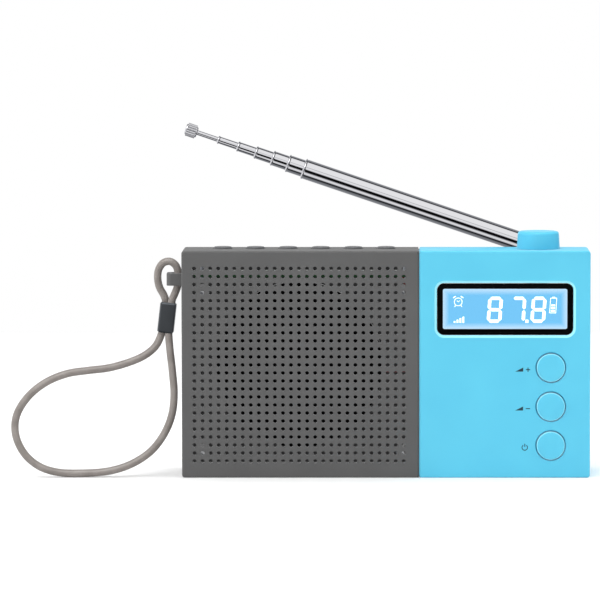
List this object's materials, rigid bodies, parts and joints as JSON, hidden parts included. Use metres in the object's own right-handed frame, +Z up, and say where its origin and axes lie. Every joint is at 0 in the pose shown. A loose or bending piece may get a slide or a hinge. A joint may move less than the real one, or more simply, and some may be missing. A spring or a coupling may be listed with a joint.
{
  "type": "tabletop radio",
  "caption": "Small tabletop radio with a perforated speaker half, a display half, push keys, a telescopic antenna and a cord wrist strap",
  "frame": {"origin": "middle of the flat base", "axes": "+Z up, the front with the grille and display faces -Y, +X to the right of someone facing the front"},
  "size_m": [0.1987, 0.0326, 0.121],
  "materials": {
    "grey_abs": "fine satin texture",
    "blue_abs": "fine satin texture",
    "black_abs": "satin",
    "dark_key_abs": "satin",
    "zinc_steel": "zinc plated",
    "tin_plate": "tinned",
    "stamped_steel": "black stoved",
    "clear_acrylic": "polished",
    "black_print": "gloss black behind the window",
    "lcd_face": "lit blue",
    "light_guide": "frosted",
    "circuit_board": "solder mask",
    "switch_body": "moulded",
    "component_epoxy": "moulded",
    "lead_pvc": "extruded",
    "speaker_cloth": "woven",
    "surround_foam": "matt",
    "cone_paper": "pressed pulp",
    "spider_cloth": "impregnated weave",
    "copper_wire": "enamelled",
    "ferrite": "ground",
    "cell_jacket": "shrink film",
    "nickel_strip": "nickel plated",
    "brass": "turned",
    "chromed_brass": "bright chrome",
    "waxed_cord": "satin round cord",
    "gunmetal": "dark plated"
  },
  "bodies": {
    "root": {"front_grille_shell": "grey_abs", "rear_shell_left": "grey_abs", "strap_lug": "grey_abs", "front_shell_right": "blue_abs", "rear_shell_right": "blue_abs", "antenna_tower": "blue_abs", "case_screws": "zinc_steel", "display_window": "clear_acrylic", "window_mask": "black_print", "lcd_glass": "lcd_face", "lcd_backlight": "light_guide", "lcd_holder": "black_abs", "main_board": "circuit_board", "key_board": "circuit_board", "key_switches": "switch_body", "tuner_shield": "tin_plate", "board_components": "component_epoxy", "board_screws": "zinc_steel", "phones_jack": "black_abs", "usb_socket": "tin_plate", "wiring": "lead_pvc", "grille_cloth": "speaker_cloth", "speaker_frame": "stamped_steel", "speaker_surround": "surround_foam", "speaker_cone": "cone_paper", "dust_cap": "cone_paper", "voice_coil": "copper_wire", "speaker_spider": "spider_cloth", "speaker_top_plate": "zinc_steel", "speaker_magnet": "ferrite", "speaker_yoke": "zinc_steel", "speaker_screws": "zinc_steel", "battery_tray": "black_abs", "battery_cells": "cell_jacket", "battery_contacts": "nickel_strip", "antenna_bush": "brass", "strap_cord": "waxed_cord", "strap_ferrule": "gunmetal"},
    "antenna_swivel": {"swivel_post": "chromed_brass", "tilt_pin": "chromed_brass", "antenna_nut": "chromed_brass"},
    "antenna_base": {"antenna_root": "chromed_brass", "antenna_tube_1": "chromed_brass"},
    "antenna_section_2": {"antenna_tube_2": "chromed_brass"},
    "antenna_section_3": {"antenna_tube_3": "chromed_brass"},
    "antenna_section_4": {"antenna_tube_4": "chromed_brass"},
    "antenna_section_5": {"antenna_tube_5": "chromed_brass"},
    "antenna_section_6": {"antenna_tube_6": "chromed_brass"},
    "antenna_tip": {"antenna_tip_rod": "chromed_brass", "antenna_cap": "chromed_brass"},
    "door": {"battery_door": "blue_abs"},
    "volume_up_button": {"volume_up_key": "blue_abs"},
    "volume_down_button": {"volume_down_key": "blue_abs"},
    "power_button": {"power_key": "blue_abs"},
    "top_button_1": {"top_key_1": "dark_key_abs"},
    "top_button_2": {"top_key_2": "dark_key_abs"},
    "top_button_3": {"top_key_3": "dark_key_abs"},
    "top_button_4": {"top_key_4": "dark_key_abs"},
    "top_button_5": {"top_key_5": "dark_key_abs"},
    "top_button_6": {"top_key_6": "dark_key_abs"}
  },
  "joints": [
    {"name": "antenna_swivel_turn", "type": "hinge", "parent": "root", "child": "antenna_swivel", "pos_m": [0.0525, 0.009, 0.0735], "axis": [0, 0, -1], "range_deg": [0, 180]},
    {"name": "antenna_tilt", "type": "hinge", "parent": "antenna_swivel", "child": "antenna_base", "pos_m": [0.0525, 0.009, 0.0775], "axis": [0, 1, 0], "range_deg": [-18.7, 71.3]},
    {"name": "antenna_section_2_slide", "type": "slide", "parent": "antenna_base", "child": "antenna_section_2", "axis": [-0.9472, 0, 0.3206], "range_m": [-0.0048, 0.06]},
    {"name": "antenna_section_3_slide", "type": "slide", "parent": "antenna_section_2", "child": "antenna_section_3", "axis": [-0.9472, 0, 0.3206], "range_m": [-0.00465, 0.0585]},
    {"name": "antenna_section_4_slide", "type": "slide", "parent": "antenna_section_3", "child": "antenna_section_4", "axis": [-0.9472, 0, 0.3206], "range_m": [-0.00515, 0.057]},
    {"name": "antenna_section_5_slide", "type": "slide", "parent": "antenna_section_4", "child": "antenna_section_5", "axis": [-0.9472, 0, 0.3206], "range_m": [-0.0055, 0.0555]},
    {"name": "antenna_section_6_slide", "type": "slide", "parent": "antenna_section_5", "child": "antenna_section_6", "axis": [-0.9472, 0, 0.3206], "range_m": [-0.0062, 0.054]},
    {"name": "antenna_tip_slide", "type": "slide", "parent": "antenna_section_6", "child": "antenna_tip", "axis": [-0.9472, 0, 0.3206], "range_m": [-0.00635, 0.0525]},
    {"name": "battery_door_swing", "type": "hinge", "parent": "root", "child": "door", "pos_m": [0.0393, 0.01505, 0.00415], "axis": [-1, 0, 0], "range_deg": [0, 80]},
    {"name": "volume_up_button_press", "type": "slide", "parent": "root", "child": "volume_up_button", "axis": [0, 1, 0], "range_m": [0, 0.0005], "stiffness_N_per_m": 400, "springref_m": -0.001},
    {"name": "volume_down_button_press", "type": "slide", "parent": "root", "child": "volume_down_button", "axis": [0, 1, 0], "range_m": [0, 0.0005], "stiffness_N_per_m": 400, "springref_m": -0.001},
    {"name": "power_button_press", "type": "slide", "parent": "root", "child": "power_button", "axis": [0, 1, 0], "range_m": [0, 0.0005], "stiffness_N_per_m": 400, "springref_m": -0.001},
    {"name": "top_button_1_press", "type": "slide", "parent": "root", "child": "top_button_1", "axis": [0, 0, -1], "range_m": [0, 0.0005], "stiffness_N_per_m": 400, "springref_m": -0.001},
    {"name": "top_button_2_press", "type": "slide", "parent": "root", "child": "top_button_2", "axis": [0, 0, -1], "range_m": [0, 0.0005], "stiffness_N_per_m": 400, "springref_m": -0.001},
    {"name": "top_button_3_press", "type": "slide", "parent": "root", "child": "top_button_3", "axis": [0, 0, -1], "range_m": [0, 0.0005], "stiffness_N_per_m": 400, "springref_m": -0.001},
    {"name": "top_button_4_press", "type": "slide", "parent": "root", "child": "top_button_4", "axis": [0, 0, -1], "range_m": [0, 0.0005], "stiffness_N_per_m": 400, "springref_m": -0.001},
    {"name": "top_button_5_press", "type": "slide", "parent": "root", "child": "top_button_5", "axis": [0, 0, -1], "range_m": [0, 0.0005], "stiffness_N_per_m": 400, "springref_m": -0.001},
    {"name": "top_button_6_press", "type": "slide", "parent": "root", "child": "top_button_6", "axis": [0, 0, -1], "range_m": [0, 0.0005], "stiffness_N_per_m": 400, "springref_m": -0.001}
  ]
}
